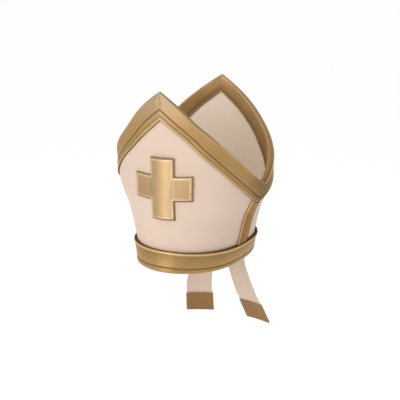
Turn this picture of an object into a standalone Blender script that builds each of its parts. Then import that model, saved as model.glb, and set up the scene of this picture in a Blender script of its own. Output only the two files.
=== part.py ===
"""A bishop's mitre, as separate cloth pieces.

Two stiff cream panels, joined at the sides, rise to a point at the front and the back.
Each point has a gold border folded over its edge. A padded gold headband runs round
the foot, gold strips cover the side seams, a raised gold cross stands on the front and
two lappets with gold ends hang from the inside of the back.

Metres, +Z up. The origin is about the middle of the head opening, level with the
headband's lower edge. The front faces -Y, so the wearer's left side is at +X. A turn is an angle in
degrees round the hat, from the middle of the front (0) over +X (90) to the middle of the
back (180).
"""
import math
from collections import namedtuple

import bmesh
import bpy
from mathutils import Vector

OBJECT_NAME = "bishop_mitre"

# Thicknesses and clearances.
PANEL_THICKNESS = 0.0030
BORDER_THICKNESS = 0.0024
STRIP_THICKNESS = 0.0030
BAND_THICKNESS = 0.0054
CROSS_THICKNESS = 0.0036
CROSS_SEAT = 0.0005
LAPPET_THICKNESS = 0.0020
SLEEVE_THICKNESS = 0.0010
GAP = 0.0003
EDGE_CHAMFER = 0.0008

# The plan of the outer face of the panels at a few heights above the headband's
# lower edge. The plan is (x / half_width)^2 + (y / depth)^(1 / corner) = 1, which is an
# ellipse at a corner of 0.5 and squarer below it.
WallSection = namedtuple("WallSection", "height half_width front_depth back_depth corner")
WALL_SECTIONS = (
    WallSection(0.0000, 0.0780, 0.1078, 0.1045, 0.400),
    WallSection(0.0310, 0.0885, 0.1016, 0.0992, 0.398),
    WallSection(0.0800, 0.1024, 0.0984, 0.0941, 0.373),
    WallSection(0.1200, 0.1210, 0.0975, 0.0893, 0.364),
    WallSection(0.1340, 0.1250, 0.0958, 0.0866, 0.364),
    WallSection(0.2070, 0.1263, 0.0929, 0.0866, 0.357),
    WallSection(0.2375, 0.1255, 0.0982, 0.0879, 0.356),
    WallSection(0.2812, 0.1238, 0.1000, 0.0907, 0.354),
)

# The pointed edges at a few turns away from the middle of a panel: the heights of the
# front and back borders' crests and of the borders' lower edge on the outside, the share
# of the way down to that edge which a border covers inside the hat, and how thick the
# back border's inside leg is at its crest and at its own lower edge, where it is padded
# towards the side seams.
EdgeSection = namedtuple(
    "EdgeSection", "turn front_crest back_crest foot inside_share pad_top pad_foot"
)
EDGE_SECTIONS = (
    EdgeSection(0.0, 0.2816, 0.2791, 0.2375, 0.68, 0.0024, 0.0024),
    EdgeSection(15.0, 0.2578, 0.2579, 0.2120, 0.68, 0.0024, 0.0024),
    EdgeSection(30.0, 0.2278, 0.2344, 0.1851, 0.74, 0.0024, 0.0026),
    EdgeSection(45.0, 0.2024, 0.2081, 0.1615, 0.98, 0.0026, 0.0030),
    EdgeSection(60.0, 0.1800, 0.1833, 0.1380, 1.10, 0.0036, 0.0050),
    EdgeSection(75.0, 0.1563, 0.1614, 0.1185, 1.15, 0.0054, 0.0082),
    EdgeSection(90.0, 0.1339, 0.1339, 0.1011, 1.20, 0.0060, 0.0100),
)
# The crest is flat between two chamfers that end this far below it.
BORDER_SHOULDER = 0.0014
# A panel's own edge, this far below the crest, and its foot, inside the headband.
PANEL_DROP = 0.0038
PANEL_START = 0.0010

# Turns of the sections round a quarter of the hat, closer where the plan turns sharply.
QUARTER_TURNS = (0.0, 8.0, 16.0, 24.0, 32.0, 40.0, 48.0, 56.0, 64.0, 72.0, 79.0, 85.0)
SEAM_TURN = 89.985
WALL_ROWS = 9
BORDER_ROWS = 6
FOLD_STEPS = 3

BAND_HEIGHT = 0.0326
BAND_ROWS = 3

# A side strip's long edges, as turns. It lies a little forward of the seam.
STRIP_TURNS = (80.6, 81.4, 85.0, 90.0, 90.5, 91.0)
STRIP_EDGE_THICKNESS = 0.0016

# The cross, measured along X from the middle and in height. The crossbar lies a little
# above the middle of the upright, whose face is crowned.
CROSS_CENTRE_HEIGHT = 0.1309
CROSS_HALF_WIDTH = 0.0505
CROSS_HALF_HEIGHT = 0.0485
UPRIGHT_HALF_WIDTH = 0.0206
UPRIGHT_CROWN = 0.0030
CROSSBAR_HALF_HEIGHT = 0.0193
CROSSBAR_RISE = 0.0008
CROSS_BEVEL = 0.0026
CROSS_CELL = 0.0105
# How the cross lies on the hat: its top leans this many degrees to the wearer's right, the
# ends of its crossbar curve up this far, and it widens by this share for each metre upwards.
CROSS_LEAN = 1.8
CROSSBAR_BOW = 0.0022
CROSS_TAPER = 0.7

# A lappet's middle line: drop below the headband, distance aside from the middle
# plane, distance back, half of its width there, and how far its middle bulges
# backwards past its long edges.
LappetSection = namedtuple("LappetSection", "drop aside back half_width bulge")
LAPPET_SECTIONS = (
    LappetSection(0.0150, 0.0240, 0.0900, 0.0194, 0.0034),
    LappetSection(0.0350, 0.0288, 0.0790, 0.0192, 0.0030),
    LappetSection(0.0600, 0.0378, 0.0760, 0.0202, 0.0026),
    LappetSection(0.0900, 0.0463, 0.0800, 0.0219, 0.0022),
    LappetSection(0.1135, 0.0522, 0.0890, 0.0226, 0.0019),
    LappetSection(0.1315, 0.0566, 0.0955, 0.0229, 0.0017),
    LappetSection(0.1495, 0.0608, 0.1021, 0.0231, 0.0016),
)
# Where a lappet is sewn inside the back panel.
LAPPET_ROOT_HEIGHTS = (0.014, 0.007, 0.0)
LAPPET_ROOT_ASIDE = 0.0240
LAPPET_ROOT_HALF_WIDTH = 0.0188
LAPPET_COLUMNS = 6
# Drops of the sleeve's open mouth, of the lappet's end in its pocket and of its own end.
SLEEVE_DROP = 0.1135
LAPPET_DROP = 0.1480
SLEEVE_END_DROP = 0.1495
# How each loose lappet hangs: its side, how far its face is turned outwards from
# straight back in degrees, and how far its end has swung towards the middle plane and
# forwards from the table above.
LappetHang = namedtuple("LappetHang", "side twist inward forward")
LAPPET_HANGS = {
    "left": LappetHang(1, 10.0, 0.0, 0.0),
    "right": LappetHang(-1, 28.0, 0.0107, 0.0112),
}

# Working distances: for the slope of the wall, for cuts, and the angle of a sharp edge.
NORMAL_STEP = 0.0001
CUT_TOLERANCE = 0.000001
SHARP_ANGLE = 30.0

Finish = namedtuple("Finish", "colour roughness metallic")
CREAM_CLOTH = Finish((0.78, 0.66, 0.55), 0.85, 0.0)
GOLD_CLOTH = Finish((0.45, 0.29, 0.12), 0.42, 0.45)
LIGHT_GOLD_CLOTH = Finish((0.62, 0.43, 0.22), 0.42, 0.45)


def clear_scene():
    """Remove everything that a new file starts with."""
    for item in list(bpy.data.objects):
        bpy.data.objects.remove(item, do_unlink=True)


def end_slopes(gaps, slopes):
    """One-sided slopes at the two ends of a monotone curve."""
    ends = []
    for near, far in ((0, 1), (-1, -2)):
        slope = (2 * gaps[near] + gaps[far]) * slopes[near] - gaps[near] * slopes[far]
        slope /= gaps[near] + gaps[far]
        if slope * slopes[near] <= 0:
            slope = 0.0
        elif abs(slope) > 3 * abs(slopes[near]):
            slope = 3 * slopes[near]
        ends.append(slope)
    return ends


def knot_slopes(places, values):
    """Slopes at each knot that keep the curve from overshooting its knots."""
    gaps = [b - a for a, b in zip(places, places[1:])]
    slopes = [(b - a) / gap for a, b, gap in zip(values, values[1:], gaps)]
    inner = []
    for index in range(1, len(gaps)):
        before, after = slopes[index - 1], slopes[index]
        if before * after <= 0:
            inner.append(0.0)
            continue
        weight_before = 2 * gaps[index] + gaps[index - 1]
        weight_after = gaps[index] + 2 * gaps[index - 1]
        total = weight_before + weight_after
        inner.append(total / (weight_before / before + weight_after / after))
    first, last = end_slopes(gaps, slopes)
    return [first] + inner + [last]


def smooth_value(sections, column, place):
    """Read a column of a table between its rows, along a smooth curve."""
    places = [row[0] for row in sections]
    values = [getattr(row, column) for row in sections]
    place = min(max(place, places[0]), places[-1])
    slopes = knot_slopes(places, values)
    index = max(i for i in range(len(places) - 1) if places[i] <= place)
    gap = places[index + 1] - places[index]
    t = (place - places[index]) / gap
    return (
        (1 + 2 * t) * (1 - t) ** 2 * values[index]
        + t * (1 - t) ** 2 * gap * slopes[index]
        + t * t * (3 - 2 * t) * values[index + 1]
        + t * t * (t - 1) * gap * slopes[index + 1]
    )


def turn_from_middle(turn):
    """How far a turn is from the middle of its own panel, 0 to 90 degrees."""
    turn = abs((turn + 180.0) % 360.0 - 180.0)
    return min(turn, 180.0 - turn)


def crest_height(turn):
    """Height of the border's crest."""
    column = "front_crest" if math.cos(math.radians(turn)) > 0 else "back_crest"
    return smooth_value(EDGE_SECTIONS, column, turn_from_middle(turn))


def foot_height(turn):
    """Height of the border's lower edge on the outside."""
    return smooth_value(EDGE_SECTIONS, "foot", turn_from_middle(turn))


def plan_value(x, y, height):
    """How far a point is outside the wall: 0 on its outer face, negative inside."""
    half_width = smooth_value(WALL_SECTIONS, "half_width", height)
    depth = smooth_value(WALL_SECTIONS, "front_depth" if y < 0 else "back_depth", height)
    corner = smooth_value(WALL_SECTIONS, "corner", height)
    return (x / half_width) ** 2 + (abs(y) / depth) ** (1 / corner) - 1


def wall_normal(point):
    """The wall's outward normal at a point on its outer face."""
    step = NORMAL_STEP
    x, y, height = point
    slopes = (
        plan_value(x + step, y, height) - plan_value(x - step, y, height),
        plan_value(x, y + step, height) - plan_value(x, y - step, height),
        plan_value(x, y, height + step) - plan_value(x, y, height - step),
    )
    return Vector(slopes).normalized()


def wall_point(turn, height, lift=0.0):
    """A point lifted off the wall's outer face, outwards if lift is positive."""
    angle = math.radians(turn)
    forward = math.cos(angle)
    half_width = smooth_value(WALL_SECTIONS, "half_width", height)
    depth = smooth_value(WALL_SECTIONS, "front_depth" if forward > 0 else "back_depth", height)
    corner = smooth_value(WALL_SECTIONS, "corner", height)
    x = half_width * math.sin(angle)
    y = -math.copysign(depth * abs(forward) ** (2 * corner), forward)
    point = Vector((x, y, height))
    return point + wall_normal(point) * lift


def turn_at(x, height):
    """The turn at which the front of the wall has this x."""
    half_width = smooth_value(WALL_SECTIONS, "half_width", height)
    return math.degrees(math.asin(x / half_width))


def spread(start, end, count):
    """Evenly spaced values from start to end, count steps apart."""
    return [start + (end - start) * step / count for step in range(count + 1)]


def panel_turns(middle):
    """Turns of the sections of a panel or border, from one side seam to the other."""
    quarter = list(QUARTER_TURNS[1:]) + [SEAM_TURN]
    offsets = [-turn for turn in reversed(quarter)] + [0.0] + quarter
    return [middle + offset for offset in offsets]


def finish_material(name, finish):
    """A plain Principled material."""
    material = bpy.data.materials.new(name)
    material.use_nodes = True
    shader = material.node_tree.nodes["Principled BSDF"]
    shader.inputs["Base Color"].default_value = (*finish.colour, 1.0)
    shader.inputs["Roughness"].default_value = finish.roughness
    shader.inputs["Metallic"].default_value = finish.metallic
    return material


def add_object(collection, name, mesh_data, finish):
    """Write a bmesh to a new object with its own material."""
    mesh_data.normal_update()
    bmesh.ops.recalc_face_normals(mesh_data, faces=mesh_data.faces)
    mesh = bpy.data.meshes.new(name)
    mesh_data.to_mesh(mesh)
    mesh_data.free()
    mesh.materials.append(finish_material(name, finish))
    mesh.shade_smooth()
    mesh.set_sharp_from_angle(angle=math.radians(SHARP_ANGLE))
    item = bpy.data.objects.new(name, mesh)
    collection.objects.link(item)
    return item


def cap_loop(mesh_data, loop):
    """Close a loop made of two facing rows of points with a row of quads."""
    last = len(loop) - 1
    for index in range(len(loop) // 2 - 1):
        corners = (loop[index], loop[index + 1], loop[last - index - 1], loop[last - index])
        mesh_data.faces.new(corners)


def add_facets(mesh_data, first, second):
    """Skin a step between two sections with two triangles.

    The cut runs from low near the middle plane to high at the side, so that pieces
    which follow the same stretch of wall have parallel facets and stay clear.
    """
    a, b = first
    d, c = second
    first_is_nearer = abs(a.co.x + b.co.x) <= abs(c.co.x + d.co.x)
    cut_starts_at_a = a.co.z <= b.co.z if first_is_nearer else c.co.z <= d.co.z
    if cut_starts_at_a:
        mesh_data.faces.new((a, b, c))
        mesh_data.faces.new((a, c, d))
    else:
        mesh_data.faces.new((a, b, d))
        mesh_data.faces.new((b, c, d))


def loft(sections, closed=False):
    """Skin a row of sections. Each is a pair of facing rows of points."""
    mesh_data = bmesh.new()
    loops = []
    for outer, inner in sections:
        points = list(outer) + list(reversed(inner))
        loops.append([mesh_data.verts.new(point) for point in points])
    following = loops[1:] + loops[:1] if closed else loops[1:]
    for near, far in zip(loops, following):
        for index, vertex in enumerate(near):
            after = (index + 1) % len(near)
            add_facets(mesh_data, (vertex, near[after]), (far[index], far[after]))
    if not closed:
        cap_loop(mesh_data, loops[0])
        cap_loop(mesh_data, loops[-1])
    return mesh_data


def place_on_wall(turn, rows):
    """Turn rows of (height, lift) into points on or off the wall."""
    return [wall_point(turn, height, lift) for height, lift in rows]


def panel_heights(turn):
    """Heights of a panel's rows of faces, from its foot to its pointed edge."""
    foot = foot_height(turn)
    in_band = spread(PANEL_START, BAND_HEIGHT, BAND_ROWS)
    below_border = spread(BAND_HEIGHT, foot, WALL_ROWS)[1:]
    under_border = spread(foot, crest_height(turn) - PANEL_DROP, BORDER_ROWS)[1:]
    return in_band + below_border + under_border


def build_panel(collection, name, middle):
    """One stiff cloth panel, half of the hat's wall."""
    sections = []
    for turn in panel_turns(middle):
        heights = panel_heights(turn)
        outer = place_on_wall(turn, [(height, 0.0) for height in heights])
        inner = place_on_wall(turn, [(height, -PANEL_THICKNESS) for height in heights])
        sections.append((outer, inner))
    return add_object(collection, name, loft(sections), CREAM_CLOTH)


def inside_leg_thickness(turn):
    """A border's thickness inside the hat, at its crest and at that leg's lower edge."""
    if math.cos(math.radians(turn)) > 0:
        return BORDER_THICKNESS, BORDER_THICKNESS
    away = turn_from_middle(turn)
    return smooth_value(EDGE_SECTIONS, "pad_top", away), smooth_value(EDGE_SECTIONS, "pad_foot", away)


def border_section(turn):
    """The U-shaped section of a border: its outside, then the side at the panel.

    The leg inside the hat may end higher or lower than the leg on the outside.
    """
    crest = crest_height(turn)
    foot = foot_height(turn)
    shoulder = crest - BORDER_SHOULDER
    fold = crest - PANEL_DROP + GAP
    levels = spread(foot, fold, BORDER_ROWS)
    share = smooth_value(EDGE_SECTIONS, "inside_share", turn_from_middle(turn))
    leg_end = crest - share * (crest - foot)
    inside_levels = spread(leg_end, fold, BORDER_ROWS)
    if leg_end < foot:
        # Level with the panel's own rows, so that the facets of the two stay clear.
        inside_levels[1:] = levels[1:]
    outside = GAP + BORDER_THICKNESS
    lining = -PANEL_THICKNESS - GAP
    pad_top, pad_foot = inside_leg_thickness(turn)
    inside = lining - pad_top
    inside_lifts = spread(lining - pad_foot, inside, BORDER_ROWS)
    skin = [(level, outside) for level in levels[:-1]]
    skin += [(shoulder, outside), (crest, outside - EDGE_CHAMFER)]
    skin += [(crest, inside + EDGE_CHAMFER), (shoulder, inside)]
    skin += list(reversed(list(zip(inside_levels, inside_lifts))[:-1]))
    groove = [(level, GAP) for level in levels]
    groove += [(fold, lift) for lift in spread(GAP, lining, FOLD_STEPS)[1:-1]]
    groove += [(level, lining) for level in reversed(inside_levels)]
    return place_on_wall(turn, skin), place_on_wall(turn, groove)


def build_border(collection, name, middle):
    """A gold border folded over a panel's pointed edge."""
    sections = [border_section(turn) for turn in panel_turns(middle)]
    return add_object(collection, name, loft(sections), GOLD_CLOTH)


def build_headband(collection):
    """The padded ring round the foot of both panels."""
    quarter = list(QUARTER_TURNS[1:]) + [90.0]
    half = [0.0] + quarter + [180.0 - turn for turn in reversed(quarter[:-1])]
    turns = half + [180.0 + turn for turn in half]
    levels = [0.0, EDGE_CHAMFER]
    levels += spread(PANEL_START, BAND_HEIGHT, BAND_ROWS)[1:-1]
    levels += [BAND_HEIGHT - EDGE_CHAMFER, BAND_HEIGHT]
    outside = GAP + BAND_THICKNESS
    lifts = [outside] * len(levels)
    lifts[0] = lifts[-1] = outside - EDGE_CHAMFER
    sections = []
    for turn in turns:
        outer = place_on_wall(turn, list(zip(levels, lifts)))
        inner = place_on_wall(turn, [(level, GAP) for level in levels])
        sections.append((outer, inner))
    return add_object(collection, "headband", loft(sections, closed=True), GOLD_CLOTH)


def build_side_strip(collection, name, side):
    """A strip over one side seam, from the headband up to the borders."""
    sections = []
    for turn in STRIP_TURNS:
        levels = spread(BAND_HEIGHT, foot_height(turn), WALL_ROWS)
        levels[0] += GAP
        levels[-1] -= GAP
        at_edge = turn in (STRIP_TURNS[0], STRIP_TURNS[-1])
        lift = GAP + (STRIP_EDGE_THICKNESS if at_edge else STRIP_THICKNESS)
        outer = place_on_wall(side * turn, [(level, lift) for level in levels])
        inner = place_on_wall(side * turn, [(level, GAP) for level in levels])
        sections.append((outer, inner))
    return add_object(collection, name, loft(sections), GOLD_CLOTH)


def outline_cross(mesh_data):
    """A flat cross, cut from a plate by taking its corners away."""
    bmesh.ops.create_grid(mesh_data, x_segments=1, y_segments=1, size=1.0)
    for vertex in mesh_data.verts:
        vertex.co.x *= CROSS_HALF_WIDTH
        vertex.co.y *= CROSS_HALF_HEIGHT
    bar = (CROSSBAR_RISE - CROSSBAR_HALF_HEIGHT, CROSSBAR_RISE + CROSSBAR_HALF_HEIGHT)
    slice_flat(mesh_data, Vector((1, 0, 0)), (-UPRIGHT_HALF_WIDTH, UPRIGHT_HALF_WIDTH))
    slice_flat(mesh_data, Vector((0, 1, 0)), bar)
    corners = [
        face
        for face in mesh_data.faces
        if abs(face.calc_center_median().x) > UPRIGHT_HALF_WIDTH
        and abs(face.calc_center_median().y - CROSSBAR_RISE) > CROSSBAR_HALF_HEIGHT
    ]
    bmesh.ops.delete(mesh_data, geom=corners, context="FACES")


def slice_flat(mesh_data, axis, places):
    """Cut a flat shape across an axis at a few places."""
    for place in places:
        everything = mesh_data.verts[:] + mesh_data.edges[:] + mesh_data.faces[:]
        bmesh.ops.bisect_plane(
            mesh_data, geom=everything, dist=CUT_TOLERANCE,
            plane_co=axis * place, plane_no=axis,
        )


def slice_for_bending(mesh_data):
    """Cut the flat cross into cells so that it can follow the wall."""
    for axis, reach in (
        (Vector((1, 0, 0)), CROSS_HALF_WIDTH),
        (Vector((0, 1, 0)), CROSS_HALF_HEIGHT),
    ):
        slice_flat(mesh_data, axis, spread(-reach, reach, round(2 * reach / CROSS_CELL))[1:-1])


def raise_cross(mesh_data):
    """Give the flat cross its thickness and bevel its upper edge."""
    flat = mesh_data.faces[:]
    raised = bmesh.ops.extrude_face_region(mesh_data, geom=flat)["geom"]
    for vertex in raised:
        if isinstance(vertex, bmesh.types.BMVert):
            vertex.co.z += CROSS_THICKNESS
    rim = [
        edge
        for edge in mesh_data.edges
        if all(vertex.co.z > CROSS_THICKNESS / 2 for vertex in edge.verts)
        and any(abs(face.normal.z) < 0.5 for face in edge.link_faces)
    ]
    bmesh.ops.bevel(
        mesh_data, geom=rim, offset=CROSS_BEVEL, offset_type="OFFSET", segments=1,
        profile=0.5, affect="EDGES", material=-1,
    )


def lay_cross_point(point):
    """Move a point of the flat cross to where it lies on the front panel."""
    x, up, lift = point
    crown = UPRIGHT_CROWN * max(0.0, 1 - (x / UPRIGHT_HALF_WIDTH) ** 2) * lift / CROSS_THICKNESS
    up += CROSSBAR_BOW * (x / CROSS_HALF_WIDTH) ** 2
    x *= 1 + CROSS_TAPER * up
    lean = math.radians(CROSS_LEAN)
    aside = x * math.cos(lean) - up * math.sin(lean)
    height = CROSS_CENTRE_HEIGHT + x * math.sin(lean) + up * math.cos(lean)
    return wall_point(turn_at(aside, height), height, CROSS_SEAT + lift + crown)


def build_cross(collection):
    """The raised cross, bent to the front panel."""
    mesh_data = bmesh.new()
    outline_cross(mesh_data)
    slice_for_bending(mesh_data)
    mesh_data.normal_update()
    raise_cross(mesh_data)
    for vertex in mesh_data.verts:
        vertex.co = lay_cross_point(vertex.co)
    return add_object(collection, "front_cross", mesh_data, LIGHT_GOLD_CLOTH)


def lappet_root_row(hang, height, margin, lift):
    """A row of points across a lappet where it is sewn inside the back panel."""
    half_width = (LAPPET_ROOT_HALF_WIDTH + margin) * math.cos(math.radians(hang.twist))
    middle = -PANEL_THICKNESS - GAP - LAPPET_THICKNESS / 2
    row = []
    for share in spread(-1.0, 1.0, LAPPET_COLUMNS):
        turn = 180.0 - turn_at(LAPPET_ROOT_ASIDE + half_width * share, height)
        row.append(wall_point(turn, height, middle + lift))
    return row


def lappet_free_row(hang, drop, margin, lift):
    """A row of points across a lappet where it hangs free."""
    aside, back, half_width, bulge = (
        smooth_value(LAPPET_SECTIONS, column, drop) for column in LappetSection._fields[1:]
    )
    swing = (drop / SLEEVE_END_DROP) ** 2
    middle = Vector((aside - hang.inward * swing, back - hang.forward * swing, -drop))
    twist = math.radians(hang.twist)
    across = Vector((math.cos(twist), -math.sin(twist), 0.0)) * (half_width + margin)
    outward = Vector((math.sin(twist), math.cos(twist), 0.0))
    row = []
    for share in spread(-1.0, 1.0, LAPPET_COLUMNS):
        row.append(middle + across * share + outward * (bulge * (1 - share * share) + lift))
    return row


def lappet_section(row_maker, hang, place, margin, thickness):
    """Facing rows of points across a lappet, or a margin wider across its sleeve.

    The rows are worked out at +X and mirrored for the lappet on the right side.
    """
    rows = [row_maker(hang, place, margin, lift) for lift in (thickness / 2, -thickness / 2)]
    return [[Vector((hang.side * p.x, p.y, p.z)) for p in row] for row in rows]


def build_lappet(collection, name, hang):
    """A cloth ribbon, sewn inside the back panel and hanging below the headband."""
    sections = [
        lappet_section(lappet_root_row, hang, height, 0.0, LAPPET_THICKNESS)
        for height in LAPPET_ROOT_HEIGHTS
    ]
    drops = [row.drop for row in LAPPET_SECTIONS[:-1]] + [LAPPET_DROP]
    sections += [
        lappet_section(lappet_free_row, hang, drop, 0.0, LAPPET_THICKNESS) for drop in drops
    ]
    return add_object(collection, name, loft(sections), CREAM_CLOTH)


def build_lappet_end(collection, name, hang):
    """A gold sleeve over a lappet's lower end: a pocket that is open at the top."""
    pocket = LAPPET_THICKNESS + 2 * GAP
    thickness = pocket + 2 * SLEEVE_THICKNESS
    between = [row.drop for row in LAPPET_SECTIONS if SLEEVE_DROP < row.drop < LAPPET_DROP]
    inside_drops = [SLEEVE_DROP] + between + [LAPPET_DROP + GAP]
    outside_drops = [SLEEVE_DROP] + between + [SLEEVE_END_DROP]
    sections = [
        lappet_section(lappet_free_row, hang, drop, GAP, pocket)
        for drop in reversed(inside_drops)
    ]
    sections += [
        lappet_section(lappet_free_row, hang, drop, GAP + SLEEVE_THICKNESS, thickness)
        for drop in outside_drops
    ]
    return add_object(collection, name, loft(sections), GOLD_CLOTH)


def main():
    """Build the whole hat."""
    clear_scene()
    collection = bpy.data.collections.new(OBJECT_NAME)
    bpy.context.scene.collection.children.link(collection)
    for name, middle in (("front", 0.0), ("back", 180.0)):
        build_panel(collection, name + "_panel", middle)
        build_border(collection, name + "_border", middle)
    build_headband(collection)
    build_cross(collection)
    for name, hang in LAPPET_HANGS.items():
        build_side_strip(collection, name + "_side_strip", hang.side)
        build_lappet(collection, name + "_lappet", hang)
        build_lappet_end(collection, name + "_lappet_end", hang)


main()
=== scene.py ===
"""Looks of a bishop's mitre: cream silk panels bound and banded in cloth of gold.

Every solid of the frame is stood for by a finer piece that follows the same wall, so the
tables of the wall are written again here. Metres, +Z up. The front faces -Y and the
wearer's left side is at +X. A turn is an angle in degrees round the hat, from the middle
of the front (0) over +X (90) to the middle of the back (180).
"""
import logging
import math
from bisect import bisect_right
from dataclasses import dataclass, field, replace
from enum import Enum
from typing import Callable, Iterable, NamedTuple, Sequence

import bmesh
import bpy
import numpy as np
from bmesh.types import BMesh
from mathutils import Matrix, Vector, noise


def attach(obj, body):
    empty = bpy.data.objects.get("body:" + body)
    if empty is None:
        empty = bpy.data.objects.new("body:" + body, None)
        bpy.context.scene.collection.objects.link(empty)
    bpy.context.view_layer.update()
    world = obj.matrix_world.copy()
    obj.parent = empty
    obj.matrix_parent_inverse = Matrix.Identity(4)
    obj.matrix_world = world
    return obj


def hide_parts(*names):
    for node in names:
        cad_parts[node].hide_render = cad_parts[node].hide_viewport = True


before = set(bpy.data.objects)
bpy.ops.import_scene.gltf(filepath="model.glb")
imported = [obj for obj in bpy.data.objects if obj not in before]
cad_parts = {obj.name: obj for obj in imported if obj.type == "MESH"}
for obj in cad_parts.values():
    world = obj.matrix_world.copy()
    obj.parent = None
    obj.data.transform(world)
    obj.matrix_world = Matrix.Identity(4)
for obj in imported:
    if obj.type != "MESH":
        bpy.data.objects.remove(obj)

log = logging.getLogger("mitre")

Colour = tuple[float, float, float]
Line = list[tuple[Vector, Vector]]
Pair = tuple[float, float]

BODY = "root"
GAP = 0.0003
MM = 0.001
WELD = 0.000001
NORMAL_STEP = 0.0001
SHARP_ANGLE = 50.0
CLOTH_MAP = "cloth"
TONE_LAYER = "tone"
PANEL_THICKNESS = 0.0030
BAND_HEIGHT = 0.0326
AXIS_X, AXIS_Y = Vector((1, 0, 0)), Vector((0, 1, 0))


class Face(Enum):
    """The two pointed halves of the hat, each as the turn of its middle."""

    FRONT = 0.0
    BACK = 180.0


class Side(Enum):
    """The wearer's sides, each as the sign of its X."""

    LEFT = 1
    RIGHT = -1


class WallRow(NamedTuple):
    """The plan of the panels' outer face at one height.

    The plan is (x / half_width)^2 + (y / depth)^(1 / corner) = 1.
    """

    height: float
    half_width: float
    front_depth: float
    back_depth: float
    corner: float


class EdgeRow(NamedTuple):
    """A border at a turn away from its panel's middle.

    It holds the heights of the two borders' crests and of their lower edge, how far down
    towards that edge the inside leg and the groove lie, as shares, and the thickness of
    the back border's inside leg at its top and at its foot, in mm.
    """

    turn: float
    front_crest: float
    back_crest: float
    foot: float
    inside_share: float
    groove_share: float
    pad_top: float
    pad_foot: float


class LappetRow(NamedTuple):
    """A lappet's middle line below the headband, half its width, and its bulge."""

    drop: float
    aside: float
    back: float
    half_width: float
    bulge: float


class Relief(NamedTuple):
    """A point of a profile: a share of its width, a lift in mm and a tone.

    A tone is painted light and shade: -1 for the darkest painted shade, as in a groove, 0 on open
    cloth and 1 for the brightest painted highlight, as on an edge.
    """

    share: float
    lift: float
    tone: float


class Spot(NamedTuple):
    """A point of a cloth piece before it is skinned, with its place on the flat cloth."""

    place: Vector
    along: float
    across: float
    tone: float


class Shade(NamedTuple):
    """A change of tone that is greatest in one place and fades away from it."""

    amount: float
    reach: float

    def at(self, distance: float) -> float:
        """The change at a distance from that place."""
        return self.amount * math.exp(-((distance / self.reach) ** 2))


WALL_ROWS = (
    WallRow(0.0000, 0.0780, 0.1078, 0.1045, 0.400),
    WallRow(0.0310, 0.0885, 0.1016, 0.0992, 0.398),
    WallRow(0.0800, 0.1024, 0.0984, 0.0941, 0.373),
    WallRow(0.1200, 0.1210, 0.0975, 0.0893, 0.364),
    WallRow(0.1340, 0.1250, 0.0958, 0.0866, 0.364),
    WallRow(0.2070, 0.1263, 0.0929, 0.0866, 0.357),
    WallRow(0.2375, 0.1255, 0.0982, 0.0879, 0.356),
    WallRow(0.2812, 0.1238, 0.1000, 0.0907, 0.354),
)
EDGE_ROWS = (
    EdgeRow(0.0, 0.2816, 0.2791, 0.2375, 0.68, 0.595, 2.4, 2.4),
    EdgeRow(15.0, 0.2578, 0.2579, 0.2120, 0.68, 0.595, 2.4, 2.4),
    EdgeRow(30.0, 0.2278, 0.2344, 0.1851, 0.74, 0.615, 2.4, 2.6),
    EdgeRow(45.0, 0.2024, 0.2081, 0.1615, 0.98, 0.655, 2.6, 3.0),
    EdgeRow(60.0, 0.1800, 0.1833, 0.1380, 1.10, 0.690, 3.6, 5.0),
    EdgeRow(75.0, 0.1563, 0.1614, 0.1185, 1.15, 0.735, 5.4, 8.2),
    EdgeRow(90.0, 0.1339, 0.1339, 0.1011, 1.20, 0.750, 6.0, 10.0),
)
LAPPET_ROWS = (
    LappetRow(0.0150, 0.0240, 0.0900, 0.0194, 0.0034),
    LappetRow(0.0350, 0.0288, 0.0790, 0.0192, 0.0030),
    LappetRow(0.0600, 0.0378, 0.0760, 0.0202, 0.0026),
    LappetRow(0.0900, 0.0463, 0.0800, 0.0219, 0.0022),
    LappetRow(0.1135, 0.0522, 0.0890, 0.0226, 0.0019),
    LappetRow(0.1315, 0.0566, 0.0955, 0.0229, 0.0017),
    LappetRow(0.1495, 0.0608, 0.1021, 0.0231, 0.0016),
)


def reliefs(*points: tuple[float, float, float]) -> tuple[Relief, ...]:
    """A profile from the shares, lifts and tones of its points."""
    return tuple(Relief(*point) for point in points)


def both_faces(shares: Sequence[float], lifts: Sequence[float]) -> list[Pair]:
    """Shares and lifts out along one face of a ribbon, back along the other, and closed.

    Args:
        shares: places from -1 to 1 across the ribbon.
        lifts: half the thickness at each.

    Returns:
        A closed run of shares and lifts.
    """
    around = list(zip(shares, lifts))
    around += [(share, -lift) for share, lift in reversed(around)]
    return around + around[:1]


def spread(start: float, end: float, count: int) -> list[float]:
    """Evenly spaced values from start to end, count steps apart."""
    return [start + (end - start) * step / count for step in range(count + 1)]


def eased(value: float) -> float:
    """A value from 0 to 1, eased at both ends and held there beyond them."""
    value = min(max(value, 0.0), 1.0)
    return value * value * (3 - 2 * value)


def laid_out(points: Iterable[tuple[Vector, float]], along: float) -> list[Spot]:
    """Measure an outline across a cloth piece.

    Args:
        points: its places in turn, each with its tone.
        along: how far along the cloth they all lie.

    Returns:
        The outline's spots.
    """
    row: list[Spot] = []
    for place, tone in points:
        across = row[-1].across + (place - row[-1].place).length if row else 0.0
        row.append(Spot(place, along, across, tone))
    return row


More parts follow.
